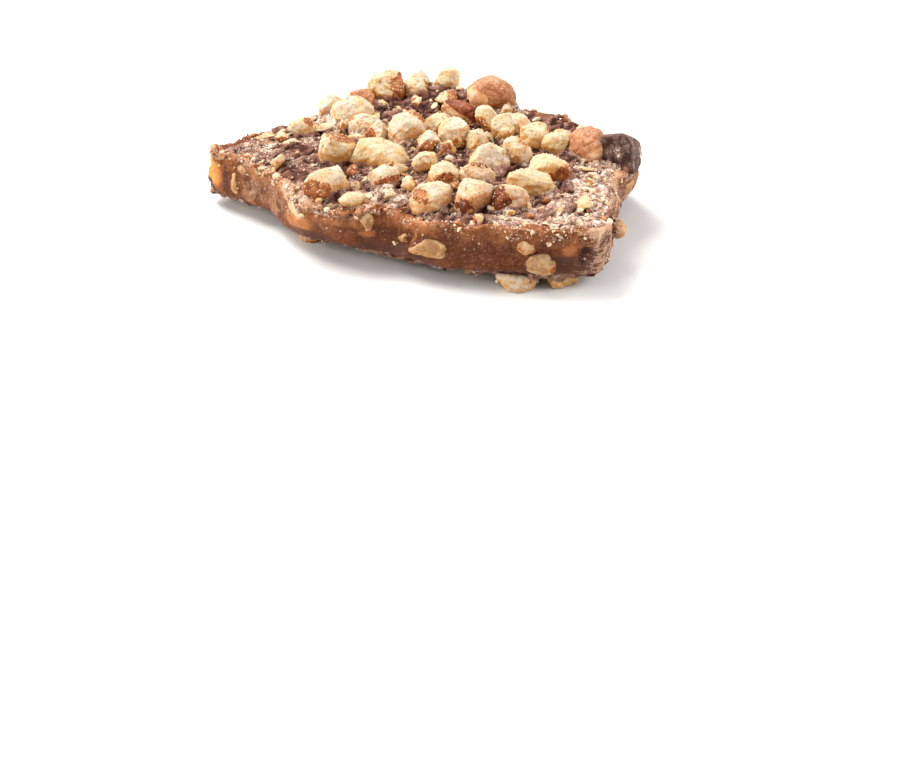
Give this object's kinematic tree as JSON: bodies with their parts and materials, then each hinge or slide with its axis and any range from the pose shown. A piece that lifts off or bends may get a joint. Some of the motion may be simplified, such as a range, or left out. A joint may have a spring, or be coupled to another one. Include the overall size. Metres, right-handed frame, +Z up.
{
  "type": "piece of pecan toffee",
  "caption": "Broken shard of butter toffee, coated with chocolate above and below, with chopped pecans pressed into both faces.",
  "frame": {"origin": "under the middle of the shard, on the surface that its lower pecans rest on", "axes": "+X along the long direction of the shard to its right corner, +Y away from the front broken side, +Z up"},
  "size_m": [0.0738, 0.0608, 0.0157],
  "materials": {
    "toffee": "cooked butter toffee, fine grained, slightly translucent at thin edges, satin",
    "chocolate": "rough dark milk chocolate with a pale dusty bloom of nut meal",
    "pecan_flesh": "cream to yellow roasted pecan flesh, matt, dusted",
    "pecan_skin": "red-brown pecan skin, wrinkled, satin"
  },
  "bodies": {
    "root": {"toffee": "toffee", "chocolate_top": "chocolate", "chocolate_under": "chocolate", "top_pecan_01": "pecan_flesh", "top_pecan_02": "pecan_flesh", "top_pecan_03": "pecan_flesh", "top_pecan_04": "pecan_flesh", "top_pecan_05": "pecan_skin", "top_pecan_06": "pecan_flesh", "top_pecan_07": "pecan_flesh", "top_pecan_08": "pecan_flesh", "top_pecan_09": "pecan_skin", "top_pecan_10": "pecan_skin", "top_pecan_11": "pecan_skin", "top_pecan_12": "chocolate", "top_pecan_13": "pecan_flesh", "top_pecan_14": "pecan_flesh", "top_pecan_15": "pecan_flesh", "top_pecan_16": "pecan_skin", "top_pecan_17": "pecan_flesh", "top_pecan_18": "pecan_flesh", "top_pecan_19": "pecan_flesh", "top_pecan_20": "pecan_flesh", "top_pecan_21": "pecan_flesh", "top_pecan_22": "pecan_flesh", "top_pecan_23": "pecan_flesh", "top_pecan_24": "pecan_flesh", "top_pecan_25": "pecan_flesh", "top_pecan_26": "pecan_flesh", "top_pecan_27": "pecan_flesh", "top_pecan_28": "pecan_flesh", "top_pecan_29": "pecan_flesh", "top_pecan_30": "pecan_skin", "top_pecan_31": "pecan_flesh", "top_pecan_32": "pecan_flesh", "top_pecan_33": "pecan_skin", "top_pecan_34": "pecan_flesh", "top_pecan_35": "pecan_flesh", "top_pecan_36": "pecan_flesh", "top_pecan_37": "pecan_flesh", "top_pecan_38": "pecan_flesh", "under_pecan_01": "pecan_flesh", "under_pecan_02": "pecan_flesh", "under_pecan_03": "pecan_flesh", "under_pecan_04": "pecan_flesh", "under_pecan_05": "pecan_flesh", "under_pecan_06": "pecan_flesh", "under_pecan_07": "pecan_flesh", "under_pecan_08": "pecan_flesh", "under_pecan_09": "pecan_flesh", "under_pecan_10": "pecan_flesh", "under_pecan_11": "pecan_flesh", "under_pecan_12": "pecan_flesh", "under_pecan_13": "pecan_flesh", "under_pecan_14": "pecan_flesh", "under_pecan_15": "pecan_flesh", "under_pecan_16": "pecan_flesh", "under_pecan_17": "pecan_flesh"}
  },
  "joints": []
}
